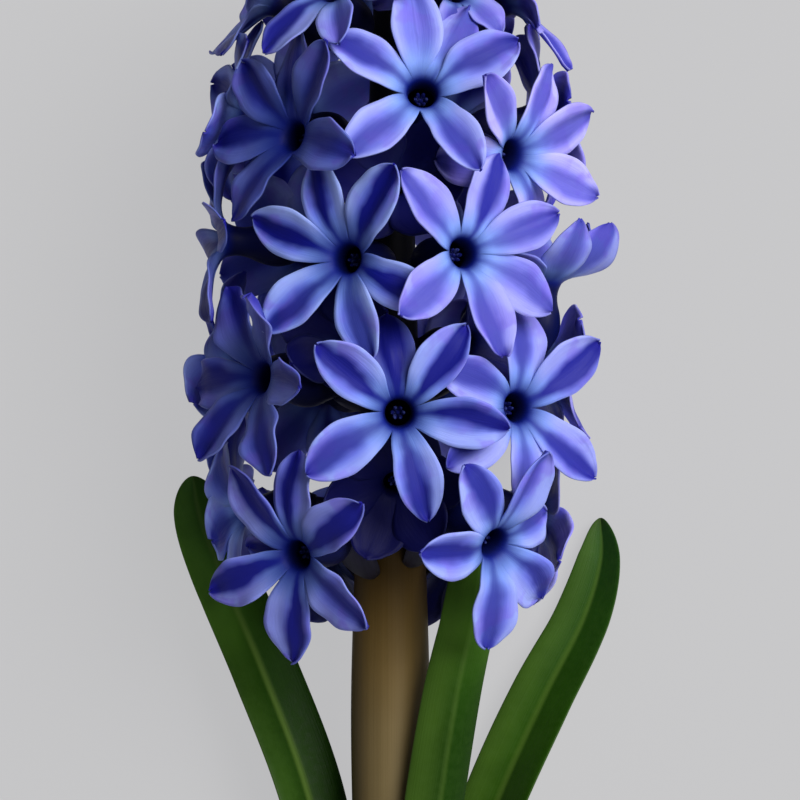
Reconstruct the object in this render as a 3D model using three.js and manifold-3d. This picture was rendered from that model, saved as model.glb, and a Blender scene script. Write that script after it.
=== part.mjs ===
// Hyacinth flower, picked with its three leaves and laid down on a flat surface.
// Millimetres. It is built standing (X to the right, Y to the back, Z up the stalk from the cut)
// and then laid on its back, so that the stalk points along +Y and the open side faces +Z.
import * as THREE from "three";
import { ParametricGeometry } from "three/addons/geometries/ParametricGeometry.js";
import { mergeVertices } from "three/addons/utils/BufferGeometryUtils.js";
import Module from "manifold-3d";

const wasm = await Module();
wasm.setup();

// ---- driving dimensions -------------------------------------------------------------------

// Radius of the stalk at heights above the cut.
const stalkProfile = [[0, 6.1], [25, 6.4], [58, 6.9], [80, 6.3], [110, 5.2], [150, 4.0], [180, 2.8], [193, 1.5]];
const stalkSides = 16;

const seatGap = 0.3; // between a floret's or leaf's foot and the stalk
const rise = THREE.MathUtils.degToRad(10); // how far the laid stalk climbs from cut to head
const footDepth = 8.2; // from the stalk's middle to the surface, at the cut

// One floret: a narrow stem, a round-bellied tube and six lobes that spread from its mouth.
const mouthRadius = 3.2;
const lobeLength = 16;
const lobeWidth = 9.2;
const lobeThickness = 0.9;
const troughDepth = 1.1; // how far a lobe's edges stand above its middle
const throatAngle = 30; // degrees from the tube's axis where a lobe leaves the mouth
const spreadAngle = 50; // degrees more, gained soon after the mouth
const usualCurl = 16; // degrees more, gained along the rest of the lobe
const tubeLength = 14;
const tubeSides = 8;

// Tube stations: distance back from the mouth, outer radius.
const tubeOutside = [[14.6, 1.3], [13.2, 2.4], [9.2, 4.0], [4, 3.3], [-0.5, 4.1]];
const tubeInside = [[-0.5, 2.5]];
const throatDepth = 6.5;
const stemRadius = 1.15;

// Lobe stations: part of the length, of the full width, of the trough depth and of the thickness.
const lobeStations = [[0, 0.3, 0.1, 0.6], [0.28, 0.7, 0.7, 1], [0.58, 1, 1, 1], [0.86, 0.66, 0.8, 1], [1, 0, 0.2, 1]];
const midlineSteps = 50;

// Florets seen from the open side. bearing and height place the mouth, reach is its distance from the
// stalk's middle, faces and nod turn it, lobes are the directions of its six lobes round the mouth
// (degrees, 0 to the right and 90 up the stalk) and curls say how far each one bends back.
const shownFlorets = [
  { bearing: 12, height: 162, reach: 26.5, faces: 6, nod: 20,
    lobes: [151, 95, 60, 28, -60, -138], curls: [14, 4, 30, 20, -4, 15] },
  { bearing: 24, height: 135, reach: 30.5, faces: 31, nod: 6,
    lobes: [137, 66, 22, -32, -74, -144], curls: [10, 22, 8, 14, 12, 12] },
  { bearing: -14, height: 134, reach: 29.5, faces: -28, nod: 4,
    lobes: [110, 54, -26, -69, -139, 160], curls: [22, 12, 40, 19, 14, 16] },
  { bearing: 3, height: 108, reach: 30.5, faces: 5, nod: -3,
    lobes: [139, 53, -7, -75, -149, 98], curls: [18, 18, 18, 14, 18, 60] },
  { bearing: 46, height: 109, reach: 30, faces: 36, nod: 4,
    lobes: [82, 36, -42, -93, 158, -148], curls: [40, -2, 12, 18, 18, 18] },
  { bearing: 48, height: 152, reach: 28, faces: 50, nod: -4,
    lobes: [138, 60, 27, -22, -64, -170], curls: [6, 26, 0, -8, 60, 50] },
  { bearing: -37, height: 155, reach: 27, faces: -46, nod: 12,
    lobes: [183, 134, 98, 54, -14, -128], curls: [22, 14, 26, 20, 14, 24] },
  { bearing: -32, height: 84, reach: 29.5, faces: -34, nod: -11,
    lobes: [126, 80, 33, -36, -98, -160], curls: [22, 34, 15, 15, 24, 13] },
  { bearing: 36, height: 86, reach: 30, faces: 42, nod: -21,
    lobes: [276, -34, 29, 82, 130, 182], curls: [18, 32, 36, 4, 30, 18] },
  { bearing: -46, height: 114, reach: 30, faces: -54, nod: 7,
    lobes: [123, 184, 233, -62, 58, -6], curls: [12, 20, 4, 18, 18, -2] },
  { bearing: 82, height: 131, reach: 27.5, faces: 96, nod: 82, size: 0.88,
    lobes: [15, 75, 135, 195, 255, 315], curls: [-80, -72, -60, -72, -84, -84] },
  { bearing: -80, height: 138, reach: 29, faces: -84, nod: 4 },
];

// Florets of the sides, the back, the top and the gaps between the others, row by row: height, reach,
// size, nod and the bearings. A back row that would lie below the surface has a shorter reach, and the
// ones deep in the gaps are only half open.
const furtherRows = [
  { height: 91, reach: 26, size: 0.9, nod: -4, bearings: [101, -101] },
  { height: 83, reach: 17.5, size: 0.88, nod: -36, bearings: [138, -137] },
  { height: 115, reach: 28, size: 1, nod: 2, bearings: [107, -110] },
  { height: 112, reach: 22.5, size: 0.95, nod: 2, bearings: [162, -148] },
  { height: 137, reach: 26.5, size: 0.95, nod: 6, bearings: [146, -146] },
  { height: 160, reach: 26, size: 0.95, nod: 14, bearings: [100, 158, -142, -92] },
  { height: 180, reach: 20, size: 0.88, nod: 34, bearings: [-28, 32, 90, 144, 201, 262] },
  { height: 197, reach: 7.5, size: 0.66, nod: 66, bearings: [60, 180, 300] },
  { height: 96, reach: 18.5, size: 0.75, nod: -14, curl: -45, bearings: [2] },
  { height: 120, reach: 18, size: 0.72, nod: 0, curl: -50, bearings: [-22, 50] },
  { height: 147, reach: 18, size: 0.72, nod: 8, curl: -50, bearings: [3] },
];

// Leaves: points of the middle line, the bearings its inner face looks along at foot and tip (it turns most
// near the foot, where it clasps the stalk), full width.
const leafThickness = 2;
const leafChannel = 2.2; // how far a leaf's edges stand above its fold
const leafStations = 11;
const leaves = [
  { name: "leaf_left", face: [62, 14], width: 13.6,
    line: [[-8, 1.6, 0], [-10, 3, 15], [-14.8, 6.6, 40], [-23.1, 12.7, 62], [-31, 18, 80], [-34.8, 21.5, 90],
      [-35.8, 23, 96.5]] },
  { name: "leaf_right", face: [-62, -18], width: 13.2,
    line: [[7.2, 2.5, 0], [10.2, 3.8, 15], [19.8, 8.4, 40], [27.7, 13.2, 57], [35.4, 18, 72], [38.2, 20.6, 82],
      [38, 22, 89]] },
  { name: "leaf_middle", face: [-150, -168], width: 11,
    line: [[3.6, -6.6, 0], [5.4, -8.2, 15], [8, -9.8, 38], [11.4, -10.6, 60], [14.4, -9.8, 74], [16, -7.6, 84],
      [17, -5, 92]] },
];

// Ways a lobe may give way to what already stands beside it, the smallest change first.
const curlSteps = [0, -6, 6, -12, 12, -18, 18, -26, 26, -34, 34, -44, 44, -56, 58, 74];
const turnSteps = [0, -7, 7, -14, 14];
const lengthSteps = [1, 0.86, 0.7, 0.5, 0.36];
const lobeClearance = 0.12;

// ---- colours ------------------------------------------------------------------------------

const finish = {
  petal: { color: 0x4f55c8, roughness: 0.55, metalness: 0 },
  stalk: { color: 0x7a6444, roughness: 0.6, metalness: 0 },
  leaf: { color: 0x2f6a1c, roughness: 0.42, metalness: 0 },
};

// ---- helpers ------------------------------------------------------------------------------

const rad = THREE.MathUtils.degToRad;

// Unit vector that points out at a bearing (0 to the front, + to the right) and climbs by an angle.
function heading(bearing, climb) {
  const level = Math.cos(rad(climb));
  return new THREE.Vector3(Math.sin(rad(bearing)) * level, -Math.cos(rad(bearing)) * level, Math.sin(rad(climb)));
}

function stalkRadius(height) {
  const above = stalkProfile.findIndex(([level]) => level > height);
  const [low, lowRadius] = stalkProfile[above - 1];
  const [high, highRadius] = stalkProfile[above];
  return THREE.MathUtils.mapLinear(height, low, high, lowRadius, highRadius);
}

// How far behind the stalk's middle the surface lies, at a height along the stalk.
function surfaceDepth(height) {
  return (footDepth + height * Math.sin(rise)) / Math.cos(rise);
}

// A closed skin over rings of points. The first and the last ring may be a single point.
function skin(rings) {
  const around = Math.max(...rings.map((ring) => ring.length));
  const geometry = new ParametricGeometry((u, v, target) => {
    const ring = rings[Math.round(v * (rings.length - 1))];
    target.copy(ring[Math.round(u * around) % around % ring.length]);
  }, around, rings.length - 1);
  geometry.deleteAttribute("normal");
  geometry.deleteAttribute("uv");
  return mergeVertices(geometry);
}

function solidOf(geometry) {
  const triangles = [];
  const index = geometry.index.array;
  for (let i = 0; i < index.length; i += 3) {
    const [a, b, c] = index.slice(i, i + 3);
    if (a !== b && b !== c && c !== a) {
      triangles.push(a, b, c);
    }
  }
  return new wasm.Manifold(new wasm.Mesh({
    numProp: 3,
    vertProperties: new Float32Array(geometry.attributes.position.array),
    triVerts: new Uint32Array(triangles),
  }));
}

function geometryOf(solid) {
  const { vertProperties, triVerts } = solid.getMesh();
  const geometry = new THREE.BufferGeometry();
  geometry.setAttribute("position", new THREE.BufferAttribute(vertProperties, 3));
  geometry.setIndex(new THREE.BufferAttribute(triVerts, 1));
  geometry.computeVertexNormals();
  return geometry;
}

function meshOf(name, geometry, look) {
  const mesh = new THREE.Mesh(geometry, new THREE.MeshStandardMaterial(finish[look]));
  mesh.name = name;
  return mesh;
}

function boxOf(solid) {
  const { min, max } = solid.boundingBox();
  return new THREE.Box3(new THREE.Vector3(...min), new THREE.Vector3(...max));
}

// ---- stalk --------------------------------------------------------------------------------

function stalkGeometry() {
  const top = stalkProfile.at(-1)[0] + 1;
  const outline = [[0, 0], ...stalkProfile, [top, 0]].map(([height, radius]) => new THREE.Vector2(radius, height));
  return new THREE.LatheGeometry(outline, stalkSides).rotateX(Math.PI / 2);
}

// ---- leaves -------------------------------------------------------------------------------

// Part of the full width at a part of the length: it clasps at the foot and has a rounded, hooded tip.
function leafBreadth(along) {
  const taper = Math.sqrt(Math.max(0, 1 - Math.pow(Math.max(0, (along - 0.62) / 0.38), 2.4)));
  return (0.9 + 0.1 * Math.sin(Math.PI * Math.min(1, along / 0.62))) * taper;
}

function leafGeometry({ line, face, width }) {
  const path = new THREE.CatmullRomCurve3(line.map((point) => new THREE.Vector3(...point)));
  const rings = [];
  for (let station = 0; station <= leafStations; station++) {
    const along = station / leafStations;
    const middle = path.getPoint(along);
    const tangent = path.getTangent(along);
    const inward = heading(THREE.MathUtils.lerp(face[0], face[1], Math.sqrt(along)), 0);
    const across = new THREE.Vector3().crossVectors(tangent, inward).normalize();
    const up = new THREE.Vector3().crossVectors(across, tangent);
    const half = 0.5 * width * leafBreadth(along);
    const edge = leafChannel * leafBreadth(along);
    const thick = leafThickness * (0.35 + 0.65 * leafBreadth(along));
    const at = (side, lift) => middle.clone().addScaledVector(across, side).addScaledVector(up, lift);
    if (half < 0.05) {
      rings.push([at(0, 0)]);
      continue;
    }
    rings.push([
      at(-half, edge), at(-half * 0.5, edge * 0.3 + thick * 0.4), at(0, thick * 0.4),
      at(half * 0.5, edge * 0.3 + thick * 0.4), at(half, edge),
      at(half * 0.5, edge * 0.3 - thick * 0.4), at(0, -thick * 0.5), at(-half * 0.5, edge * 0.3 - thick * 0.4),
    ]);
  }
  return skin([[path.getPoint(0)], ...rings]);
}

// ---- florets ------------------------------------------------------------------------------

// The mouth's place and its three directions: out of the mouth, to the right and up.
function mouthFrame(floret) {
  const out = heading(floret.faces, floret.nod);
  const right = new THREE.Vector3(Math.cos(rad(floret.faces)), Math.sin(rad(floret.faces)), 0);
  const up = new THREE.Vector3().crossVectors(out, right);
  const place = heading(floret.bearing, 0).multiplyScalar(floret.reach).setZ(floret.height);
  return { out, right, up, place };
}

// Middle line of a lobe, seen from the side: distance from the axis, distance out, direction.
function lobeMidline(curl, length, size) {
  const line = [{ radius: mouthRadius * size, out: 0, angle: rad(throatAngle) }];
  const step = (length * size) / midlineSteps;
  for (let i = 0; i < midlineSteps; i++) {
    const along = (i + 0.5) / midlineSteps;
    const angle = rad(throatAngle + spreadAngle * (1 - Math.exp(-along / 0.12)) + curl * along);
    const last = line.at(-1);
    line.push({ radius: last.radius + Math.sin(angle) * step, out: last.out + Math.cos(angle) * step, angle });
  }
  return line;
}

function lobeSolid(frame, size, direction, curl, length, spare) {
  const line = lobeMidline(curl, length, size);
  const away = new THREE.Vector3()
    .addScaledVector(frame.right, Math.cos(rad(direction)))
    .addScaledVector(frame.up, Math.sin(rad(direction)));
  const across = new THREE.Vector3().crossVectors(frame.out, away);
  const rings = lobeStations.map(([along, breadth, trough, thickness]) => {
    const { radius, out, angle } = line[Math.round(along * midlineSteps)];
    const middle = frame.place.clone().addScaledVector(away, radius).addScaledVector(frame.out, out);
    const inward = new THREE.Vector3()
      .addScaledVector(away, -Math.cos(angle))
      .addScaledVector(frame.out, Math.sin(angle));
    const at = (side, lift) => middle.clone().addScaledVector(across, side).addScaledVector(inward, lift);
    if (breadth === 0) {
      return [at(0, troughDepth * trough)];
    }
    const half = 0.5 * lobeWidth * size * breadth + spare;
    const lift = troughDepth * size * trough;
    const thick = 0.5 * lobeThickness * thickness + spare;
    return [at(-half, lift), at(0, -thick), at(half, lift), at(0, thick)];
  });
  const foot = frame.place.clone()
    .addScaledVector(away, line[0].radius)
    .addScaledVector(frame.out, line[0].out);
  return solidOf(skin([[foot], ...rings]));
}

// Stem and tube as one solid: it leaves the stalk square and runs straight through the tube.
function tubeSolid(floret, frame) {
  const size = floret.size;
  const rootHeight = floret.height - 3 - 8 * Math.sin(rad(Math.max(0, floret.nod)));
  const square = heading(floret.bearing, 0);
  const root = square.clone().multiplyScalar(stalkRadius(rootHeight) + seatGap).setZ(rootHeight);
  const neck = frame.place.clone().addScaledVector(frame.out, -tubeLength * size);
  const bow = 0.45 * root.distanceTo(neck);
  const stem = new THREE.CubicBezierCurve3(
    root, root.clone().addScaledVector(square, bow), neck.clone().addScaledVector(frame.out, -bow), neck);

  const ringAt = (middle, direction, radius) => {
    const side = new THREE.Vector3().crossVectors(direction, frame.right).normalize();
    const other = new THREE.Vector3().crossVectors(direction, side);
    return Array.from({ length: tubeSides }, (_, i) => {
      const turn = (2 * Math.PI * i) / tubeSides;
      return middle.clone().addScaledVector(side, radius * Math.cos(turn))
        .addScaledVector(other, radius * Math.sin(turn));
    });
  };
  const onAxis = (back) => frame.place.clone().addScaledVector(frame.out, -back * size);
  const stemRings = [0, 0.5].map((part) => ringAt(stem.getPoint(part), stem.getTangent(part), stemRadius));
  const tubeRings = [...tubeOutside, ...tubeInside]
    .map(([back, radius]) => ringAt(onAxis(back), frame.out, radius * size));
  return solidOf(skin([[root], ...stemRings, ...tubeRings, [onAxis(throatDepth)]]));
}

function allFlorets() {
  const shown = shownFlorets.map((floret) => ({ size: 1, ...floret }));
  const further = furtherRows.flatMap(({ bearings, ...row }) =>
    bearings.map((bearing) => ({ ...row, bearing, faces: bearing })));
  return [...shown, ...further].map((floret, i) => ({
    ...floret,
    name: `floret_${String(i + 1).padStart(2, "0")}`,
    lobes: floret.lobes ?? Array.from({ length: 6 }, (_, k) => 30 + 60 * k + 13 * (i % 4)),
    curls: floret.curls ?? Array.from({ length: 6 }, (_, k) => (floret.curl ?? usualCurl) + 5 * ((i + k) % 3)),
  }));
}

// ---- fitting the head together --------------------------------------------------------------

function clears(solid, others) {
  const box = boxOf(solid);
  return others.every((other) => !box.intersectsBox(other.box) || solid.intersect(other.solid).isEmpty());
}

// No point of the solid lies below the surface.
function aboveSurface(solid) {
  const { vertProperties } = solid.getMesh();
  for (let i = 0; i < vertProperties.length; i += 3) {
    if (vertProperties[i + 1] > surfaceDepth(vertProperties[i + 2])) {
      return false;
    }
  }
  return true;
}

// The first way for a lobe to lie that is clear of the surface and of everything grown before it.
function fitLobe(floret, frame, k, grown) {
  for (const length of lengthSteps) {
    for (const turn of turnSteps) {
      for (const more of curlSteps) {
        const pose = [floret.lobes[k] + turn, floret.curls[k] + more, lobeLength * length];
        const roomy = lobeSolid(frame, floret.size, ...pose, lobeClearance);
        if (aboveSurface(roomy) && clears(roomy, grown)) {
          return lobeSolid(frame, floret.size, ...pose, 0);
        }
      }
    }
  }
  throw new Error(`${floret.name} has no room for lobe ${k}`);
}

function growHead(fixed) {
  const florets = allFlorets().map((floret) => {
    const frame = mouthFrame(floret);
    const tube = tubeSolid(floret, frame);
    return { floret, frame, tube, box: boxOf(tube), solid: tube };
  });
  const grown = [...fixed, ...florets.map(({ floret, solid, box }) => ({ owner: floret.name, solid, box }))];
  return florets.map(({ floret, frame, tube }) => {
    let body = tube;
    for (let k = 0; k < floret.lobes.length; k++) {
      const lobe = fitLobe(floret, frame, k, grown.filter(({ owner }) => owner !== floret.name));
      grown.push({ owner: floret.name, solid: lobe, box: boxOf(lobe) });
      body = body.add(lobe);
    }
    return meshOf(floret.name, geometryOf(body), "petal");
  });
}

// ---- the whole flower, laid down --------------------------------------------------------------

const stalk = meshOf("stalk", stalkGeometry(), "stalk");
const leafMeshes = leaves.map((leaf) => meshOf(leaf.name, leafGeometry(leaf), "leaf"));
const fixed = [stalk, ...leafMeshes].map(({ name, geometry }) => {
  const bare = geometry.clone();
  bare.deleteAttribute("normal");
  bare.deleteAttribute("uv");
  const solid = solidOf(mergeVertices(bare));
  return { owner: name, solid, box: boxOf(solid) };
});

const laid = new THREE.Group();
laid.rotation.x = rise - Math.PI / 2;
laid.add(stalk, ...leafMeshes, ...growHead(fixed));

// The origin is under the middle of the flower, on the surface.
const flower = new THREE.Group();
flower.add(laid);
flower.updateMatrixWorld(true);
const bounds = new THREE.Box3().setFromObject(flower, true);
const centre = bounds.getCenter(new THREE.Vector3());
laid.position.set(-centre.x, -centre.y, -bounds.min.z);

export default flower;
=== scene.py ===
import math
import bpy
import numpy as np
from mathutils import Matrix, Vector
from mathutils.bvhtree import BVHTree


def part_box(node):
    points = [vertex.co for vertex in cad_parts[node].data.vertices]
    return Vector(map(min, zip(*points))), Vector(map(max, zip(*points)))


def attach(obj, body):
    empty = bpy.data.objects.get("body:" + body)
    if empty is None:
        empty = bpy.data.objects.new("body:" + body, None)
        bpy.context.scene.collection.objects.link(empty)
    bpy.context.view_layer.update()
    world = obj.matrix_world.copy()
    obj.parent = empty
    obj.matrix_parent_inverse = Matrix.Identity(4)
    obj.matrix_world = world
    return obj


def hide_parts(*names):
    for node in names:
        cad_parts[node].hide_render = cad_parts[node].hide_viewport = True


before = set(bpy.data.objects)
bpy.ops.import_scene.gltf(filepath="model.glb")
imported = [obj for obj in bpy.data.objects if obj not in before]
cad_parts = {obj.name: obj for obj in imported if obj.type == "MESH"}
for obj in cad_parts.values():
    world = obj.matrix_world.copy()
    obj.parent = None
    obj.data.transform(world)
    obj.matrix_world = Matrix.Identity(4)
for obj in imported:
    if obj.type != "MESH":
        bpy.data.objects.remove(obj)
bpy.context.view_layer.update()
scene = bpy.context.scene
print("frame loaded:", len(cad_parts), "nodes")

# The flower is described standing: x to the right, y to the back, z up the stalk, in millimetres.
# It is then laid down as the CAD one is: stalk along +Y, open side up, climbing a little to the head.
lying = {
    "rise": 10, "cutRadius": 6.1,
    # metres over the surface: what lies under near is eased up, and at lowest it ends a hair over it
    "near": 0.0012, "lowest": -0.0004, "hair": 0.00006,
}
riseSin = math.sin(math.radians(lying["rise"]))
riseCos = math.cos(math.radians(lying["rise"]))
stalkLow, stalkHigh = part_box("stalk")
shift = np.array([
    (stalkLow.x + stalkHigh.x) / 2,
    stalkLow.y + lying["cutRadius"] * riseSin / 1000,
    stalkLow.z + lying["cutRadius"] * riseCos / 1000,
])


def offFloor(place):
    near, lowest, hair = (lying[name] for name in ("near", "lowest", "hair"))
    lifted = hair + (place[:, 2] - lowest) * (near - hair) / (near - lowest)
    place[:, 2] = np.where(place[:, 2] < near, np.maximum(lifted, hair), place[:, 2])
    return place


def laidDown(place):
    x, y, z = np.moveaxis(np.asarray(place, float), -1, 0)
    laid = np.stack([x, y * riseSin + z * riseCos, -y * riseCos + z * riseSin], axis=-1)
    return laid / 1000 + shift


def turned(direction):
    x, y, z = direction
    return Vector((x, y * riseSin + z * riseCos, -y * riseCos + z * riseSin))


def smooth(low, high, value):
    part = np.clip((value - low) / (high - low), 0, 1)
    return part * part * (3 - 2 * part)


def curveThrough(stations, value):
    # soft line through (place, amount) pairs
    places, amounts = zip(*stations)
    places, amounts = np.array(places, float), np.array(amounts, float)
    slopes = np.gradient(amounts, places)
    value = np.clip(value, places[0], places[-1])
    at = np.clip(np.searchsorted(places, value) - 1, 0, len(places) - 2)
    span = places[at + 1] - places[at]
    t = (value - places[at]) / span
    return ((2 * t**3 - 3 * t**2 + 1) * amounts[at] + (t**3 - 2 * t**2 + t) * span * slopes[at]
            + (3 * t**2 - 2 * t**3) * amounts[at + 1] + (t**3 - t**2) * span * slopes[at + 1])


def unit(vectors):
    return vectors / np.linalg.norm(vectors, axis=1)[:, None]


def deselect():
    bpy.ops.object.select_all(action="DESELECT")


def activate(piece):
    deselect()
    piece.select_set(True)
    bpy.context.view_layer.objects.active = piece


def points(piece):
    co = np.zeros(len(piece.data.vertices) * 3)
    piece.data.vertices.foreach_get("co", co)
    return co.reshape(-1, 3)


def setPoints(piece, co):
    piece.data.vertices.foreach_set("co", np.asarray(co, float).ravel())
    piece.data.update()


def setValues(piece, name, values):
    if name not in piece.data.attributes:
        piece.data.attributes.new(name, "FLOAT", "POINT")
    piece.data.attributes[name].data.foreach_set("value", np.asarray(values, float))


def getValues(piece, name):
    values = np.zeros(len(piece.data.vertices))
    piece.data.attributes[name].data.foreach_get("value", values)
    return values


def cornerVertices(piece):
    # which point each corner of each face stands on
    vertexOf = np.zeros(len(piece.data.loops), int)
    piece.data.loops.foreach_get("vertex_index", vertexOf)
    return vertexOf


def setMap(piece, name, flat):
    piece.data.uv_layers[0].name = name
    piece.data.uv_layers[0].data.foreach_set("uv", flat.ravel())


def bakeTransform():
    bpy.ops.object.transform_apply(location=True, rotation=True, scale=True)


def addTube(name, sides, rings):
    # a closed tube of radius 1 from z = 0 to z = 1, with rings along it
    deselect()
    bpy.ops.mesh.primitive_cylinder_add(
        vertices=sides, radius=1, depth=1, location=(0, 0, 0.5), end_fill_type="TRIFAN")
    tube = bpy.context.active_object
    tube.name = name
    bakeTransform()
    bpy.ops.object.mode_set(mode="EDIT")
    bpy.ops.mesh.select_all(action="DESELECT")
    bpy.ops.object.mode_set(mode="OBJECT")
    co = points(tube)
    for edge in tube.data.edges:
        a, b = (co[i] for i in edge.vertices)
        edge.select = bool(abs(a[2] - b[2]) > 0.5)
    bpy.ops.object.mode_set(mode="EDIT")
    bpy.ops.mesh.select_mode(type="EDGE")
    bpy.ops.mesh.subdivide(number_cuts=rings)
    bpy.ops.object.mode_set(mode="OBJECT")
    return tube


def evenNormals(piece, weld=0):
    activate(piece)
    bpy.ops.object.mode_set(mode="EDIT")
    bpy.ops.mesh.select_all(action="SELECT")
    if weld:
        bpy.ops.mesh.remove_doubles(threshold=weld)
    bpy.ops.mesh.normals_make_consistent(inside=False)
    bpy.ops.object.mode_set(mode="OBJECT")


def thicken(piece, skin, offset):
    activate(piece)
    modifier = piece.modifiers.new("Solidify", "SOLIDIFY")
    modifier.thickness = skin / 1000
    modifier.offset = offset
    bpy.ops.object.modifier_apply(modifier=modifier.name)


def smoothFaces(piece):
    for face in piece.data.polygons:
        face.use_smooth = True


def joined(pieces):
    deselect()
    for piece in pieces:
        piece.select_set(True)
    bpy.context.view_layer.objects.active = pieces[0]
    bpy.ops.object.join()
    return pieces[0]


def copyOf(piece, name):
    twin = bpy.data.objects.new(name, piece.data.copy())
    twin.data.name = name
    scene.collection.objects.link(twin)
    return twin


def volumeOf(piece):
    mesh = piece.data
    mesh.calc_loop_triangles()
    corners = np.zeros(len(mesh.loop_triangles) * 3, int)
    mesh.loop_triangles.foreach_get("vertices", corners)
    co = points(piece)[corners.reshape(-1, 3)]
    return float(np.einsum("ij,ij->i", co[:, 0], np.cross(co[:, 1], co[:, 2])).sum()) / 6


# A node tree, with short ways to add and link the nodes that the materials are made of.
class Tree:
    def __init__(self, nodeTree):
        self.tree = nodeTree
        self.column = 0

    def add(self, kind, **settings):
        node = self.tree.nodes.new(kind)
        self.column += 1
        node.location = (self.column * 180, -40 * (self.column % 5))
        for key, value in settings.items():
            setattr(node, key, value)
        return node

    def feed(self, socket, value):
        if isinstance(value, bpy.types.NodeSocket):
            self.tree.links.new(value, socket)
        elif value is not None:
            socket.default_value = value

    def math(self, operation, first, second=None, third=None, clamp=False):
        node = self.add("ShaderNodeMath", operation=operation, use_clamp=clamp)
        for socket, value in zip(node.inputs, (first, second, third)):
            self.feed(socket, value)
        return node.outputs[0]

    def times(self, first, second, clamp=False):
        return self.math("MULTIPLY", first, second, clamp=clamp)

    def absolute(self, value):
        return self.math("ABSOLUTE", value)

    def vector(self, operation, first, second=None):
        node = self.add("ShaderNodeVectorMath", operation=operation)
        self.feed(node.inputs[0], first)
        self.feed(node.inputs[1], second)
        return node.outputs

    def ease(self, value, low, high, toLow=0.0, toHigh=1.0):
        node = self.add("ShaderNodeMapRange", interpolation_type="SMOOTHSTEP")
        for socket, given in zip(node.inputs, (value, low, high, toLow, toHigh)):
            self.feed(socket, given)
        return node.outputs[0]

    def mix(self, amount, first, second):
        node = self.add("ShaderNodeMix", data_type="RGBA")
        self.feed(node.inputs[0], amount)
        self.feed(node.inputs[6], first)
        self.feed(node.inputs[7], second)
        return node.outputs[2]

    def tint(self, colour, mask, amount, tinted):
        return self.mix(self.times(mask, amount), colour, tinted)

    def ramp(self, value, stops):
        node = self.add("ShaderNodeValToRGB")
        node.color_ramp.interpolation = "B_SPLINE"
        elements = node.color_ramp.elements
        while len(elements) < len(stops):
            elements.new(0.5)
        for element, (place, colour) in zip(elements, stops):
            element.position = place
            element.color = colour
        self.feed(node.inputs[0], value)
        return node.outputs[0]

    def curve(self, value, stations):
        node = self.add("ShaderNodeFloatCurve")
        line = node.mapping.curves[0]
        while len(line.points) < len(stations):
            line.points.new(0.5, 0.5)
        for point, (place, amount) in zip(line.points, stations):
            point.location = (place, amount)
        node.mapping.update()
        self.feed(node.inputs["Value"], value)
        return node.outputs[0]

    def noise(self, **values):
        node = self.add("ShaderNodeTexNoise", noise_dimensions="3D")
        for key, value in values.items():
            self.feed(node.inputs[key], value)
        return node.outputs[0]

    def attribute(self, name):
        return self.add("ShaderNodeAttribute", attribute_name=name).outputs["Fac"]

    def surfaceMap(self, name):
        flat = self.add("ShaderNodeUVMap", uv_map=name)
        split = self.add("ShaderNodeSeparateXYZ")
        self.feed(split.inputs[0], flat.outputs[0])
        return split.outputs[0], split.outputs[1]

    def group(self, made, **values):
        node = self.add("ShaderNodeGroup", node_tree=made)
        for key, value in values.items():
            self.feed(node.inputs[key], value)
        return node.outputs[0]

    def grain(self, flat, lines, stretch, seed=0.0):
        across, along = flat
        return self.group(grainLines, Across=across, Along=along, Lines=lines, Stretch=stretch, Seed=seed)

    def bump(self, shader, height, strength, distance):
        node = self.add("ShaderNodeBump")
        self.feed(node.inputs["Strength"], strength)
        self.feed(node.inputs["Distance"], distance)
        self.feed(node.inputs["Height"], height)
        self.feed(shader["Normal"], node.outputs[0])


def rgb(red, green, blue):
    # screen colour, 0 to 255, as the light values that a shader takes
    channels = [c / 255 for c in (red, green, blue)]
    return tuple(c / 12.92 if c <= 0.04045 else ((c + 0.055) / 1.055) ** 2.4 for c in channels) + (1.0,)


def newGroup(name, **inputs):
    # a node group that takes numbers and gives one, its Mask
    made = bpy.data.node_groups.new(name, "ShaderNodeTree")
    for title, value in inputs.items():
        socket = made.interface.new_socket(title, in_out="INPUT", socket_type="NodeSocketFloat")
        socket.default_value = value
    made.interface.new_socket("Mask", in_out="OUTPUT", socket_type="NodeSocketFloat")
    tree = Tree(made)
    return made, tree, tree.add("NodeGroupInput").outputs, tree.add("NodeGroupOutput").inputs


def newMaterial(name, roughness, specular):
    material = bpy.data.materials.new(name)
    material.use_nodes = True
    shader = material.node_tree.nodes["Principled BSDF"].inputs
    shader["Roughness"].default_value = roughness
    shader["Specular IOR Level"].default_value = specular
    return material, Tree(material.node_tree), shader


# Fine lines along a piece, as in petals, stalk and leaves. Across and Along are a surface map.
def makeGrainLines():
    made, tree, given, out = newGroup(
        "grainLines", Across=0.0, Along=0.0, Lines=40.0, Stretch=4.0, Seed=0.0)
    place = tree.add("ShaderNodeCombineXYZ")
    tree.feed(place.inputs[0], tree.times(given["Across"], given["Lines"]))
    tree.feed(place.inputs[1], tree.times(given["Along"], given["Stretch"]))
    tree.feed(place.inputs[2], given["Seed"])
    noise = tree.noise(Vector=place.outputs[0], Scale=1.0, Detail=3.0, Roughness=0.55)
    tree.feed(out["Mask"], tree.ease(noise, 0.3, 0.7))
    return made


# Slow cloudy variation over the whole plant, read from where each point lies.
def makeSoftMottle():
    made, tree, given, out = newGroup("softMottle", Size=200.0, Seed=0.0)
    place = tree.add("ShaderNodeTexCoord").outputs["Object"]
    moved = tree.vector("ADD", place, given["Seed"])[0]
    noise = tree.noise(Vector=moved, Scale=given["Size"], Detail=2.0)
    tree.feed(out["Mask"], tree.ease(noise, 0.32, 0.68))
    return made


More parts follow.
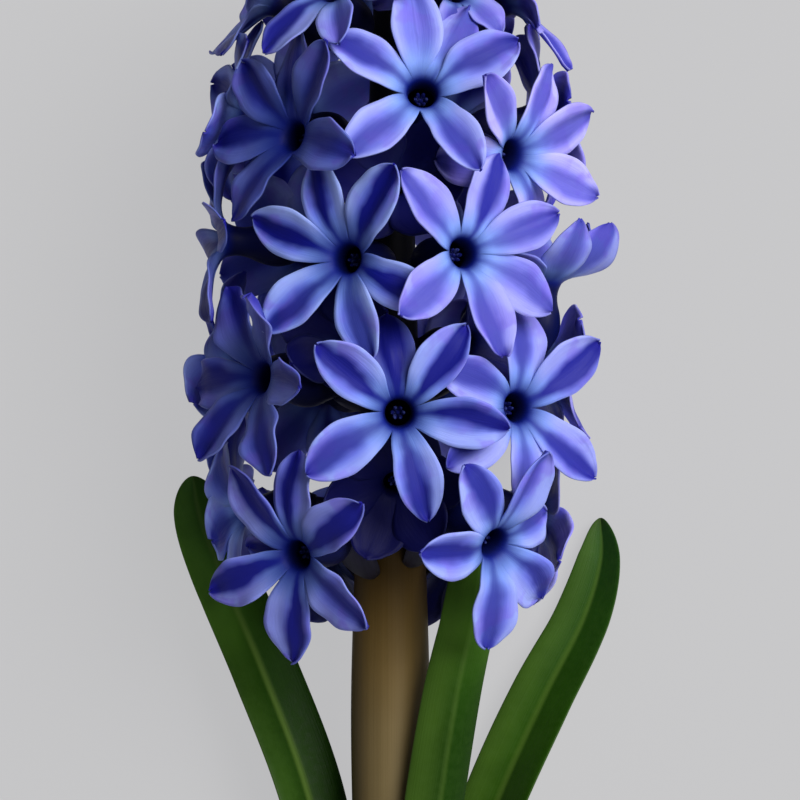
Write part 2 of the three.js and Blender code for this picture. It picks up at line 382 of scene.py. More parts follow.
# How deep inside the head a point lies, for the painted shade there: 1 up to Near metres from the
# stalk's middle line, 0 from Far.
def makeDepthInHead():
    made, tree, given, out = newGroup("depthInHead", Near=0.01, Far=0.024)
    place = tree.add("ShaderNodeTexCoord").outputs["Object"]
    moved = tree.vector("SUBTRACT", place, tuple(shift))[0]
    across = tree.vector("CROSS_PRODUCT", moved, tuple(turned((0, 0, 1))))[0]
    length = tree.vector("LENGTH", across)["Value"]
    tree.feed(out["Mask"], tree.ease(length, given["Near"], given["Far"], 1.0, 0.0))
    return made


grainLines = makeGrainLines()
softMottle = makeSoftMottle()
depthInHead = makeDepthInHead()


petalLook = {
    "base": rgb(134, 170, 246), "middle": rgb(98, 118, 225), "lilacMiddle": rgb(138, 134, 230),
    "margin": rgb(154, 178, 246), "lilacMargin": rgb(176, 170, 244), "band": rgb(5, 11, 110),
    "lilacBand": rgb(48, 50, 156), "violet": rgb(126, 104, 224), "tip": rgb(30, 24, 140),
    # throat, ring and deep are painted shade; rim is a painted highlight
    "throat": rgb(5, 11, 60), "ring": rgb(12, 26, 122), "deep": rgb(8, 8, 42), "rim": rgb(184, 202, 255),
    # part of the lobe's length, part of its width that the band takes
    "bandWidth": [(0, 0.12), (0.15, 0.15), (0.35, 0.23), (0.6, 0.33), (0.82, 0.38), (1, 0.65)],
    "bandAside": 0.7, "bandWander": 0.16, "inkAndShadeAmount": 0.55, "tipAmount": 0.5, "rimAmount": 0.11,
    "lineCount": 150.0, "lineStretch": 5.0, "lineAmount": 0.07, "deepFrom": 0.014, "deepTo": 0.0272,
    "deepAmount": 0.85, "bumpStrength": 0.16, "bumpDistance": 0.0002,
}


def makePetal():
    look = petalLook
    material, tree, shader = newMaterial("petalSatin", 0.5, 0.1)
    shader["Subsurface Weight"].default_value = 0.1
    shader["Subsurface Scale"].default_value = 0.0012
    shader["Subsurface Radius"].default_value = (0.5, 0.6, 1.0)
    flat = tree.surfaceMap("lobeMap")
    along = tree.math("MULTIPLY_ADD", flat[1], 2.0, -1.0)  # 0 at the mouth, 1 at the tip
    side = tree.math("MULTIPLY_ADD", tree.math("FRACT", tree.times(flat[0], 6.0)), 2.0, -1.0)
    tone = tree.attribute("tone")
    lilacAndLight = tree.attribute("lilacAndLight")
    givenInkAndShade = tree.attribute("inkAndShade")
    depth = tree.attribute("bandDepth")
    mottle = tree.group(softMottle, Size=160.0)
    # the band down the middle wanders a little and widens towards the tip
    bias = tree.times(tree.math("SUBTRACT", tone, 0.5), look["bandAside"])
    wander = tree.times(tree.math("SUBTRACT", mottle, 0.5), look["bandWander"])
    offMiddle = tree.absolute(tree.math("ADD", tree.math("ADD", side, bias), wander))
    width = tree.curve(along, look["bandWidth"])
    reach = tree.times(width, tree.math("MULTIPLY_ADD", tone, 0.5, 0.75))
    band = tree.ease(tree.math("SUBTRACT", offMiddle, reach), -0.14, 0.38, 1.0, 0.0)
    band = tree.times(band, tree.ease(along, -0.05, 0.32, 0.68, 1.0))
    band = tree.times(band, depth, clamp=True)
    midrib = tree.times(tree.ease(offMiddle, 0.0, 0.16, 0.3, 0.0), tree.ease(along, 0.1, 0.4))
    band = tree.math("MAXIMUM", band, midrib)
    bandColour = tree.mix(lilacAndLight, look["band"], look["lilacBand"])
    middleColour = tree.mix(lilacAndLight, look["middle"], look["lilacMiddle"])
    marginColour = tree.mix(lilacAndLight, look["margin"], look["lilacMargin"])
    # pale blue at the mouth, paler again at the sides, and violet in patches
    pale = tree.mix(tree.ease(along, 0.04, 0.45), look["base"], middleColour)
    offEdge = tree.absolute(tree.math("MULTIPLY_ADD", bias, 1.2, side))
    margin = tree.times(tree.ease(offEdge, 0.4, 0.95), tree.ease(along, 0.08, 0.32))
    # the painted shade of a dark floret dims its pale sides as well
    margin = tree.times(margin, tree.math("MULTIPLY_ADD", givenInkAndShade, -0.6, 0.95))
    pale = tree.mix(margin, pale, marginColour)
    patches = tree.group(softMottle, Size=230.0, Seed=5.0)
    violet = tree.times(tree.ease(patches, 0.35, 0.9), tree.ease(along, 0.3, 0.75, 0.0, 0.5))
    pale = tree.mix(violet, pale, look["violet"])
    # florets in the shade are inkier all over, partly their own deeper tone and partly painted shade,
    # and so are single lobes with a band over 1
    inkAndShade = tree.times(givenInkAndShade, look["inkAndShadeAmount"])
    inkAndShade = tree.math("MAXIMUM", inkAndShade, tree.math("SUBTRACT", depth, 1.0), clamp=True)
    pale = tree.mix(inkAndShade, pale, bandColour)
    colour = tree.mix(band, pale, bandColour)
    colour = tree.tint(colour, tree.ease(along, 0.84, 1.0), look["tipAmount"], look["tip"])
    # fine lines that run along every lobe
    lines = tree.grain(flat, look["lineCount"], look["lineStretch"], tone)
    colour = tree.tint(colour, lines, look["lineAmount"], bandColour)
    # painted highlight: a thin pale line along the edges of each lobe
    rim = tree.times(tree.ease(tree.absolute(side), 0.93, 1.0), tree.ease(along, 0.1, 0.3))
    rim = tree.times(rim, look["rimAmount"])
    colour = tree.mix(rim, colour, look["rim"])
    # painted shade: the mouth darkens from blue to a near-black throat
    ring = tree.ease(along, -0.04, tree.attribute("mouthShadeReach"), 1.0, 0.0)
    colour = tree.mix(ring, colour, look["ring"])
    throat = tree.ease(along, -0.12, 0.06, 1.0, 0.0)
    colour = tree.mix(throat, colour, look["throat"])
    # painted shade: dark inside the head, and over the whole of a floret whose inkAndShade is over 1
    deep = tree.group(depthInHead, Near=look["deepFrom"], Far=look["deepTo"])
    deep = tree.times(deep, look["deepAmount"])
    deep = tree.math("MAXIMUM", deep, tree.math("SUBTRACT", givenInkAndShade, 1.0), clamp=True)
    colour = tree.mix(deep, colour, look["deep"])
    tree.feed(shader["Base Color"], colour)
    tree.feed(shader["Roughness"], tree.math("MULTIPLY_ADD", lines, 0.12, 0.42))
    tree.bump(shader, lines, look["bumpStrength"], look["bumpDistance"])
    return material


# The floret stems: partly their own dark colour and partly painted shade, near black where they leave the
# stalk inside the head.
stemLook = {
    "root": rgb(22, 18, 20), "neck": rgb(14, 14, 52), "lines": (0.35, rgb(44, 38, 66)),
    "grain": (24.0, 3.0),
}


def makeFloretStem():
    material, tree, shader = newMaterial("floretStemAndShade", 0.6, 0.3)
    flat = tree.surfaceMap("lobeMap")
    colour = tree.mix(flat[1], stemLook["root"], stemLook["neck"])
    colour = tree.tint(colour, tree.grain(flat, *stemLook["grain"]), *stemLook["lines"])
    tree.feed(shader["Base Color"], colour)
    return material


def makeAnther():
    material, tree, shader = newMaterial("anther", 0.9, 0.05)
    dusty = tree.ease(tree.group(softMottle, Size=1500.0), 0.5, 0.95)
    tree.feed(shader["Base Color"], tree.mix(dusty, rgb(10, 15, 76), rgb(52, 60, 118)))
    return material


petalSatin = makePetal()
floretStemAndShade = makeFloretStem()
anther = makeAnther()
print("petal materials made")


# Millimetres and degrees, for a floret of size 1.
floretShape = {
    "mouthRadius": 3.2, "lobeLength": 16, "lobeWidth": 9.2, "trough": 1.15, "throatAngle": 30,
    "spreadAngle": 50, "spreadOver": 0.12, "tubeLength": 15, "skin": 0.3, "stemRadius": 1.35,
    "neck": 14, "mouthIn": 0.45,
    # part of the length, part of the full width
    "outline": [(0, 0.42), (0.1, 0.54), (0.22, 0.74), (0.34, 0.9), (0.46, 0.99), (0.58, 1.0),
                (0.69, 0.92), (0.79, 0.78), (0.87, 0.6), (0.935, 0.41), (0.98, 0.2), (1, 0.04)],
    # part of the length, part of the trough's depth
    "troughDepth": [(0, 0.1), (0.28, 0.75), (0.58, 1), (0.86, 0.85), (1, 0.3)],
    # back from the mouth, radius
    "tube": [(0, 2.75), (1, 2.4), (2.4, 2.2), (4, 2.4), (6.5, 3.25), (9.2, 3.6), (11.4, 3.1),
             (13.2, 2.1), (14.5, 1.2), (15, 0)],
}
# The CAD lobe: its trough, the part of it that the tip is lifted by and the steps along its line.
# A tip this many millimetres from a point of the CAD model is there, or isn't found.
cadLobe = {"trough": 1.1, "tipLift": 0.2, "steps": 50, "there": 0.004, "notFound": 0.05}

# bearing and height place the mouth, reach is its distance from the stalk's middle, faces and nod turn
# it, lobes are the directions of its lobes round the mouth and curls how far each bends back.
# lilacAndLight: how violet and light the floret is, partly its own tone and partly painted light on
# the right, lit side. inkAndShade: how dark, partly its own tone and partly painted shade.
# mouthShadeReach: how far the painted shade of the mouth runs out along the lobes. bands: how strong
# the dark band is in each lobe.
# tones: where that band runs, from 0 for one side of the lobe to 1 for the other.
# width, ruffle and twist: how broad, how wavy and how turned its lobes are.
shownFlorets = [
    {"bearing": 12, "height": 162, "reach": 26.5, "faces": 6, "nod": 20,
     "lilacAndLight": 0.45, "inkAndShade": 0.2, "mouthShadeReach": 0.2,
     "lobes": [151, 95, 60, 28, -60, -138], "curls": [14, 4, 30, 20, -4, 15],
     "bands": [0.9, 0.15, 0.6, 0.9, 0.8, 0.65],
     "tones": [0.6, 0.5, 0.9, 0.3, 0.6, 0.4]},
    {"bearing": 24, "height": 135, "reach": 30.5, "faces": 31, "nod": 6,
     "lilacAndLight": 0.7, "inkAndShade": 0.3, "mouthShadeReach": 0.17,
     "lobes": [137, 66, 22, -32, -74, -144], "curls": [10, 22, 8, 14, 12, 12],
     "bands": [0.75, 1.05, 0.7, 0.65, 0.75, 0.65],
     "tones": [0.3, 0.8, 0.7, 0.15, 0.8, 0.35]},
    {"bearing": -14, "height": 134, "reach": 29.5, "faces": -28, "nod": 4,
     "lilacAndLight": 0.1, "inkAndShade": 0.1, "mouthShadeReach": 0.4,
     "lobes": [110, 54, -26, -69, -139, 160], "curls": [22, 12, 40, 19, 14, 16],
     "bands": [1.0, 1.15, 1.3, 0.7, 0.85, 1.1],
     "tones": [0.3, 0.6, 0.5, 0.65, 0.3, 0.4]},
    {"bearing": 3, "height": 108, "reach": 30.5, "faces": 5, "nod": -3,
     "lilacAndLight": 0.2, "inkAndShade": 0.32, "mouthShadeReach": 0.28,
     "lobes": [139, 53, -7, -75, -149, 98], "curls": [18, 18, 18, 14, 18, 60],
     "bands": [1.1, 1.15, 1.05, 0.95, 0.8, 1.8],
     "tones": [0.35, 0.9, 0.1, 0.75, 0.6, 0.5]},
    {"bearing": 46, "height": 109, "reach": 30, "faces": 36, "nod": 4,
     "lilacAndLight": 0.5, "inkAndShade": 0.3,
     "lobes": [82, 36, -42, -93, 158, -148], "curls": [40, -2, 12, 18, 18, 18],
     "bands": [0.8, 1.15, 0.95, 0.65, 0.8, 0.8]},
    {"bearing": 48, "height": 152, "reach": 28, "faces": 50, "nod": -4,
     "lilacAndLight": 0.9, "inkAndShade": 0.0,
     "lobes": [138, 60, 27, -22, -64, -170], "curls": [6, 26, 0, -8, 60, 50],
     "bands": [0.65, 0.7, 0.65, 0.55, 0.8, 0.7]},
    {"bearing": -37, "height": 155, "reach": 27, "faces": -46, "nod": 12,
     "lilacAndLight": 0.1, "inkAndShade": 0.95, "mouthShadeReach": 0.6, "ruffle": 1.8,
     "lobes": [183, 134, 98, 54, -14, -128], "curls": [22, 14, 26, 20, 14, 24],
     "bands": [0.9, 0.9, 0.8, 0.9, 0.8, 0.9]},
    {"bearing": -32, "height": 84, "reach": 29.5, "faces": -34, "nod": -11,
     "lilacAndLight": 0.35, "inkAndShade": 0.55, "mouthShadeReach": 0.38, "ruffle": 2.2,
     "lobes": [126, 80, 33, -36, -98, -160], "curls": [22, 34, 15, 15, 24, 13],
     "bands": [1.35, 1.2, 1.35, 0.85, 1.3, 1.3]},
    {"bearing": 36, "height": 86, "reach": 30, "faces": 42, "nod": -21,
     "lilacAndLight": 0.3, "inkAndShade": 0.25,
     "lobes": [276, -34, 29, 82, 130, 182], "curls": [18, 32, 36, 4, 30, 18],
     "bands": [0.75, 0.85, 0.75, 0.65, 0.9, 0.95]},
    {"bearing": -46, "height": 114, "reach": 30, "faces": -54, "nod": 7,
     "lilacAndLight": 0.2, "inkAndShade": 1.0, "mouthShadeReach": 0.45, "ruffle": 3.2,
     "lobes": [123, 184, 233, -62, 58, -6], "curls": [12, 20, 4, 18, 18, -2],
     "bands": [0.9, 1.0, 0.9, 0.9, 0.6, 0.9]},
    # the cup-shaped one at the side
    {"bearing": 82, "height": 131, "reach": 27.5, "faces": 96, "nod": 82,
     "lilacAndLight": 0.4, "inkAndShade": 0.4, "size": 0.88, "width": 1.2,
     "lobes": [15, 75, 135, 195, 255, 315], "curls": [-80, -72, -60, -72, -84, -84],
     "bands": [0.5, 0.7, 0.6, 0.5, 0.6, 0.7]},
    {"bearing": -80, "height": 138, "reach": 29, "faces": -84, "nod": 4,
     "lilacAndLight": 0.1, "inkAndShade": 1.0, "bands": [1.2] * 6},
]
# The florets of the sides, the back and the top, in rows round the stalk. The last three rows are
# half-open ones deep between the front florets, dark all over as painted shade in the gaps.
furtherRows = [
    {"height": 91, "reach": 26, "size": 0.9, "nod": -4, "bearings": [101, -101]},
    {"height": 83, "reach": 17.5, "size": 0.88, "nod": -36, "bearings": [138, -137]},
    {"height": 115, "reach": 28, "size": 1, "nod": 2, "bearings": [107, -110]},
    {"height": 112, "reach": 22.5, "size": 0.95, "nod": 2, "bearings": [162, -148]},
    {"height": 137, "reach": 26.5, "size": 0.95, "nod": 6, "bearings": [146, -146]},
    {"height": 160, "reach": 26, "size": 0.95, "nod": 14, "bearings": [100, 158, -142, -92]},
    {"height": 180, "reach": 20, "size": 0.88, "nod": 34, "bearings": [-28, 32, 90, 144, 201, 262]},
    {"height": 197, "reach": 7.5, "size": 0.66, "nod": 66, "bearings": [60, 180, 300]},
    {"height": 96, "reach": 18.5, "size": 0.75, "nod": -14, "bearings": [2],
     "curl": -45, "inkAndShade": 1.8, "bands": [1.7] * 6},
    {"height": 120, "reach": 18, "size": 0.72, "nod": 0, "bearings": [-22, 50],
     "curl": -50, "inkAndShade": 1.65, "bands": [1.6] * 6},
    {"height": 147, "reach": 18, "size": 0.72, "nod": 8, "bearings": [3],
     "curl": -50, "inkAndShade": 1.65, "bands": [1.6] * 6},
]
# What a CAD lobe may have been given, to clear its neighbours: degrees of bend, degrees round the
# mouth, part of the length.
curlSteps = [0, -6, 6, -12, 12, -18, 18, -26, 26, -34, 34, -44, 44, -56, 58, 74]
turnSteps = [0, -7, 7, -14, 14]
lengthSteps = [1, 0.86, 0.7, 0.5, 0.36]
# What a lobe here may be given on top of that: degrees of bend, part of the length.
lobeTries = [(0, 1), (-4, 1), (4, 1), (0, 0.93), (-8, 1), (8, 1), (-4, 0.9), (4, 0.9), (-12, 0.97),
             (12, 0.97), (0, 0.84), (-16, 0.95), (16, 0.95), (0, 0.72), (-22, 0.9), (22, 0.9), (0, 0.6)]


# What a floret has where nothing is said. Those at the sides are the most twisted, and those that
# face back or are cup-shaped have the broadest lobes.
usualFloret = {
    "size": 1, "curl": 16, "inkAndShade": 0.45, "mouthShadeReach": 0.25, "ruffle": 1.2, "twist": 11, "width": 0.92,
    "sideTwist": 44, "backWidth": 1.35, "cupWidth": 1.45,
}


def listFlorets():
    usual = usualFloret
    florets = [dict(floret) for floret in shownFlorets]
    for row in furtherRows:
        for bearing in row["bearings"]:
            florets.append({**row, "bearing": bearing, "faces": bearing})
    for i, floret in enumerate(florets):
        curl = floret.get("curl", usual["curl"])
        fromFront = abs(math.remainder(floret["bearing"], 360))
        if curl < 0:
            floret.setdefault("width", usual["cupWidth"])
        if fromFront > 90:
            floret.setdefault("width", usual["backWidth"])
        if 70 < fromFront < 125:
            floret.setdefault("twist", usual["sideTwist"])
        for name in ("size", "inkAndShade", "mouthShadeReach", "ruffle", "twist", "width"):
            floret.setdefault(name, usual[name])
        # florets towards the right, on the lit side, are more violet and lighter: partly painted light
        floret.setdefault("lilacAndLight", 0.5 + 0.4 * math.sin(math.radians(floret["bearing"])))
        floret.setdefault("lobes", [30 + 60 * k + 13 * (i % 4) for k in range(6)])
        floret.setdefault("curls", [curl + 5 * ((i + k) % 3) for k in range(6)])
        floret.setdefault("bands", [0.45 + 0.09 * ((5 * i + 3 * k) % 7) for k in range(6)])
        floret["number"] = i + 1
        floret["node"] = f"floret_{i + 1:02d}"
    return florets


def heading(bearing, climb=0):
    level = math.cos(math.radians(climb))
    b = math.radians(bearing)
    return np.array([math.sin(b) * level, -math.cos(b) * level, math.sin(math.radians(climb))])


def mouthFrame(floret):
    out = heading(floret["faces"], floret["nod"])
    faces = math.radians(floret["faces"])
    right = np.array([math.cos(faces), math.sin(faces), 0])
    place = heading(floret["bearing"]) * floret["reach"] + np.array([0, 0, floret["height"]])
    return {"out": out, "right": right, "up": np.cross(out, right), "place": place}


def mouthRay(mouth, angle):
    # from the mouth's middle, square to its axis
    angle = np.asarray(angle)[..., None]
    return mouth["right"] * np.cos(angle) + mouth["up"] * np.sin(angle)


def lobeLine(curl, length, size):
    # a lobe's middle line: how far it is from the mouth's axis and over the mouth, and its slope
    shape = floretShape
    steps = cadLobe["steps"]
    along = (np.arange(steps) + 0.5) / steps
    spread = shape["spreadAngle"] * (1 - np.exp(-along / shape["spreadOver"]))
    angle = np.radians(shape["throatAngle"] + spread + curl * along)
    step = length * size / steps
    radius = shape["mouthRadius"] * size + np.concatenate([[0], np.cumsum(np.sin(angle) * step)])
    out = np.concatenate([[0], np.cumsum(np.cos(angle) * step)])
    return radius, out, np.concatenate([[math.radians(shape["throatAngle"])], angle])


def lobePose(mouth, floret, k, cadPoints):
    # the way this lobe lies in the CAD floret, told by where its tip is
    lift = cadLobe["trough"] * cadLobe["tipLift"]
    best = None
    for part in lengthSteps:
        for more in curlSteps:
            curl = floret["curls"][k] + more
            length = floretShape["lobeLength"] * part
            radius, out, angle = lobeLine(curl, length, floret["size"])
            for turn in turnSteps:
                direction = floret["lobes"][k] + turn
                away = mouthRay(mouth, math.radians(direction))
                inward = -away * math.cos(angle[-1]) + mouth["out"] * math.sin(angle[-1])
                tip = mouth["place"] + away * radius[-1] + mouth["out"] * out[-1] + inward * lift
                gap = np.linalg.norm(cadPoints - laidDown(tip), axis=1).min() * 1000
                if best is None or gap < best[0] - 1e-6:
                    best = (gap, {"direction": direction, "curl": curl, "length": length})
                if gap < cadLobe["there"]:
                    return best
    return best


def lobePoses(mouth, floret):
    cadPoints = points(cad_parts[floret["node"]])
    poses = []
    for k in range(6):
        gap, pose = lobePose(mouth, floret, k, cadPoints)
        if gap > cadLobe["notFound"]:
            print("lobe tip not found", floret["node"], k, round(gap, 3))
        pose.update({name: floret[name] for name in ("ruffle", "width", "twist")})
        pose["band"] = floret["bands"][k]
        if "tones" in floret:
            pose["tone"] = floret["tones"][k]
        poses.append(pose)
    return poses


# A flat pattern of one floret: a tube sheet and six lobe sheets, as if cut from paper.
pattern = {
    "columns": 12, "lobeRows": 26, "tubeRows": 16, "lobeHalf": 0.49, "tipCrowding": 1.35,
    "footEnd": 0.12, "weld": 0.000004, "values": ("lobeNumber", "across", "along"),
}


def addSheet(name, columns, rows, low, high):
    deselect()
    middle = ((low[0] + high[0]) / 2, (low[1] + high[1]) / 2, 0)
    bpy.ops.mesh.primitive_grid_add(x_subdivisions=columns, y_subdivisions=rows, size=1, location=middle)
    sheet = bpy.context.active_object
    sheet.name = name
    sheet.scale = (high[0] - low[0], high[1] - low[1], 1)
    bakeTransform()
    return sheet


def makePattern():
    tube = addSheet("tubeSheet", 6 * pattern["columns"], pattern["tubeRows"], (0, -1), (6, 0))
    co = points(tube)
    lobeNumber = np.minimum(np.floor(co[:, 0] + 1e-6), 5)
    setValues(tube, "lobeNumber", lobeNumber)
    setValues(tube, "across", (co[:, 0] - lobeNumber - 0.5) * 2)
    setValues(tube, "along", co[:, 1])
    sheets = [tube]
    half = pattern["lobeHalf"]
    for k in range(6):
        middle = k + 0.5
        sheet = addSheet(
            "lobeSheet", pattern["columns"], pattern["lobeRows"], (middle - half, 0), (middle + half, 1))
        co = points(sheet)
        setValues(sheet, "lobeNumber", np.full(len(co), k))
        setValues(sheet, "across", (co[:, 0] - middle) / half)
        # rows draw closer together towards the tip
        setValues(sheet, "along", 1 - (1 - co[:, 1]) ** pattern["tipCrowding"])
        sheets.append(sheet)
    whole = joined(sheets)
    whole.name = "floretPattern"
    vertexOf = cornerVertices(whole)
    co = points(whole)[vertexOf]
    along = getValues(whole, "along")[vertexOf]
    setMap(whole, "lobeMap", np.stack([co[:, 0] / 6, (along + 1) / 2], axis=1))
    return whole


def weldPattern(flat):
    # closed on a regular floret, so that the seams are welded once for all
    regular = {"size": 1, "number": 0}
    mouth = {"place": np.zeros(3), "right": np.array([1.0, 0, 0]), "up": np.array([0, 1.0, 0]),
             "out": np.array([0, 0, 1.0])}
    even = {"curl": 16, "length": 16, "twist": 0, "band": 1, "width": 1, "ruffle": 1}
    poses = [{**even, "direction": 30 + 60 * k} for k in range(6)]
    values = [getValues(flat, name) for name in pattern["values"]]
    setPoints(flat, floretPoints(regular, mouth, poses, values)[0] / 1000)
    evenNormals(flat, pattern["weld"])
    # the lobes' upper faces and the inside of the tube are the skin's front
    flat.data.update()
    along = getValues(flat, "along")
    lobeTilts = [face.normal.z for face in flat.data.polygons if along[face.vertices[0]] > 0.5]
    if np.mean(lobeTilts) < 0:
        flat.data.flip_normals()


def listLobeFaces(flat, values):
    # the faces of each lobe, past its foot, by the numbers of the lobe's own points
    number, _, along = values
    faces = []
    for slot in range(6):
        local = {int(v): i for i, v in enumerate(np.flatnonzero(number == slot))}
        own = [face.vertices for face in flat.data.polygons
               if all(number[v] == slot and along[v] > pattern["footEnd"] for v in face.vertices)]
        faces.append([[local[v] for v in corners] for corners in own])
    return faces


# Of two neighbours, the lobe that bends back less lies over the other: its edge is raised, and the
# other's lowered. Where they crowd, from apart degrees between them to close, both go further.
crowding = {
    "apart": 58, "close": 34, "raised": 0.3, "moreRaised": 0.3, "lowered": -0.25, "moreLowered": -0.5,
    "flattened": 0.85,
}


def lobeEdges(slot, turns, curls):
    # how far up each edge of a lobe goes, and how much of its trough is taken away
    edges = []
    for step in (-1, 1):
        other = (slot + step) % 6
        gap = step * (turns[other] - turns[slot]) % 360
        crowd = float(smooth(crowding["apart"], crowding["close"], gap))
        if (curls[slot], -(slot % 2)) < (curls[other], -(other % 2)):
            edges.append((crowding["raised"] + crowding["moreRaised"] * crowd, 0))
        else:
            lowered = crowding["lowered"] + crowding["moreLowered"] * crowd
            edges.append((lowered, crowding["flattened"] * crowd))
    return edges


# Where the points of the pattern go, for one floret.
def floretPoints(floret, mouth, poses, values, lobeFaces=None, placed=()):
    size = floret["size"]
    number, across, along = values
    rng = np.random.default_rng(1000 + floret["number"])
    order = np.argsort([pose["direction"] % 360 for pose in poses])
    turns = [poses[j]["direction"] % 360 for j in order]
    curls = [poses[j]["curl"] for j in order]
    result = np.zeros((len(number), 3))
    tone, band = np.zeros(len(number)), np.zeros(len(number))
    for slot in range(6):
        pose = {**poses[order[slot]], "edges": lobeEdges(slot, turns, curls)}
        before = (turns[slot] - turns[slot - 1]) % 360 / 2
        after = (turns[(slot + 1) % 6] - turns[slot]) % 360 / 2
        mine = number == slot
        v, u = across[mine], along[mine]
        ray = mouthRay(mouth, np.radians(turns[slot] + np.where(v < 0, v * before, v * after)))
        back = np.clip(-u, 0, 1) * floretShape["tubeLength"]
        radius = curveThrough(floretShape["tube"], back)
        tube = mouth["place"] + ray * (radius * size)[:, None] - mouth["out"] * (back * size)[:, None]
        seed = int(rng.integers(1 << 30))
        # a lobe that would run through another floret bends a little more or less, or is shorter
        for bend, part in lobeTries:
            tried = {**pose, "curl": pose["curl"] + bend, "length": pose["length"] * part}
            lobe = lobePoints(mouth, size, tried, ray, v, u, np.random.default_rng(seed))
            if not placed or isClear(lobe, lobeFaces[slot], placed):
                break
        else:
            print("lobe left crossing", floret["node"], slot)
        result[mine] = np.where((u <= 0)[:, None], tube, lobe)
        tone[mine] = pose.get("tone", rng.random())
        band[mine] = pose["band"]
    return result, tone, band


def isClear(lobe, faces, placed):
    own = BVHTree.FromPolygons(lobe.tolist(), faces)
    return not any(own.overlap(other) for other in placed)


# How a lobe is worked.
lobeWork = {
    # millimetres: waves at its edges, pleats along it, a middle line that sways and snakes, and a
    # tip that bends back and then hoods
    "wave": 0.2, "fineWave": 0.12, "pleat": 0.11, "sway": 0.7, "snake": 0.3, "tipBack": 0.35,
    "tipBackVaries": 0.45, "tipHood": 0.35,
    # parts of its depth and of its width
    "edgeRoll": 0.2, "nibble": 0.014, "widthVaries": 0.08,
    # radians of each wave over its length, and of the pleats from its middle to its edge
    "waveTurns": 7, "fineWaveTurns": 14, "nibbleTurns": 17, "pleatTurns": 7,
    # parts of its length: where it has left the mouth, where the tip bends back, where it hoods
    "free": 0.3, "backFrom": 0.55, "hoodFrom": 0.86,
}


def lobePoints(mouth, size, pose, ray, v, u, rng):
    # v runs across the lobe from -1 to 1, u along it from 0 at the mouth to 1 at the tip
    shape, work = floretShape, lobeWork
    u = np.clip(u, 0, 1)
    radius, out, angle = lobeLine(pose["curl"], pose["length"], size)
    steps = np.linspace(0, 1, len(radius))
    radius, out, angle = (np.interp(u, steps, line)[:, None] for line in (radius, out, angle))
    away = mouthRay(mouth, math.radians(pose["direction"]))
    side = np.cross(mouth["out"], away)
    inward = -away * np.cos(angle) + mouth["out"] * np.sin(angle)
    chance = rng.uniform(-1, 1, 6)
    width = shape["lobeWidth"] * size * curveThrough(shape["outline"], u)
    half = 0.5 * width * (pose["width"] + work["widthVaries"] * chance[0])
    # a trough with a crease down the middle and edges that roll over a little
    depth = shape["trough"] * size * curveThrough(shape["troughDepth"], u)
    raised, flat = (np.where(v < 0, left, right) for left, right in zip(*pose["edges"]))
    lift = depth * (0.12 * np.abs(v) + 0.88 * v**2 - work["edgeRoll"] * smooth(0.72, 1, np.abs(v)))
    lift *= 1 - flat
    ruffle = pose["ruffle"] * size
    phase = rng.random(4) * 2 * math.pi
    edge = np.sign(v)
    waves = np.sin(work["waveTurns"] * u + phase[0] + edge * phase[1])
    fineWaves = np.sin(work["fineWaveTurns"] * u + phase[2] + edge * phase[3])
    wave = work["wave"] * ruffle * np.abs(v) ** 3 * waves + work["fineWave"] * ruffle * v**2 * fineWaves
    # soft pleats that run along the lobe and wander
    pleats = np.cos(work["pleatTurns"] * v + phase[0] + 1.6 * np.sin(3 * u + phase[3]))
    wave += work["pleat"] * size * pleats * smooth(0.15, 0.5, u)
    nibbles = np.sin(work["nibbleTurns"] * u + phase[1] + 2 * edge) * smooth(0.25, 0.6, u)
    nibbled = half * (1 + work["nibble"] * pose["ruffle"] * nibbles)
    twist = math.radians(pose["twist"] * chance[1]) * u
    sway = work["sway"] * chance[2] * u**2 + work["snake"] * chance[3] * np.sin(math.pi * u)
    # the tip bends back, and its very end hoods up a little
    tipBack = (work["tipBack"] + work["tipBackVaries"] * chance[4]) * size
    tipBack *= smooth(work["backFrom"], 1, u) ** 2
    tipHood = work["tipHood"] * size * smooth(work["hoodFrom"], 1, u)
    across = nibbled * v * np.cos(twist) + sway
    high = lift + wave * smooth(0.1, 0.5, u) + half * v * np.sin(twist) + tipHood - tipBack
    high += raised * size * smooth(0.02, 0.35, u) * smooth(0, 0.6, np.abs(v))
    start = mouth["place"] + mouth["out"] * out
    section = start + away * radius + side * across[:, None] + inward * high[:, None]
    # at its foot the lobe follows the mouth's ring
    arc = start + ray * (radius - (shape["mouthIn"] * size * smooth(0.22, 0, u))[:, None])
    opened = smooth(0, work["free"], u)[:, None]
    return arc * (1 - opened) + section * opened


stalkShape = {
    # height, radius
    "profile": [(-1, 6.1), (0, 6.1), (25, 6.4), (58, 6.9), (80, 6.3), (110, 5.2), (150, 4.0),
                (180, 2.8), (193, 1.5), (194, 1.3)],
    "top": 194, "around": 72, "rings": 89, "ribs": 5, "rib": 0.06, "fineRibs": 11, "fineRib": 0.02,
    "ribsEnd": 150,
}


def stalkRadius(height):
    heights, radii = zip(*stalkShape["profile"])
    return float(np.interp(height, heights, radii))


def bezier(p0, p1, p2, p3, t):
    t = np.asarray(t)[:, None]
    return (1 - t) ** 3 * p0 + 3 * (1 - t) ** 2 * t * p1 + 3 * (1 - t) * t**2 * p2 + t**3 * p3


# A floret's stem leaves the stalk square to it and bows up to the neck behind the floret's tube.
stemShape = {"around": 12, "rings": 9, "below": 3, "nodBelow": 8, "inside": 0.5, "bow": 0.45}


def makeStemPattern():
    stem = addTube("stemPattern", stemShape["around"], stemShape["rings"])
    stem.data.uv_layers[0].name = "lobeMap"
    return stem


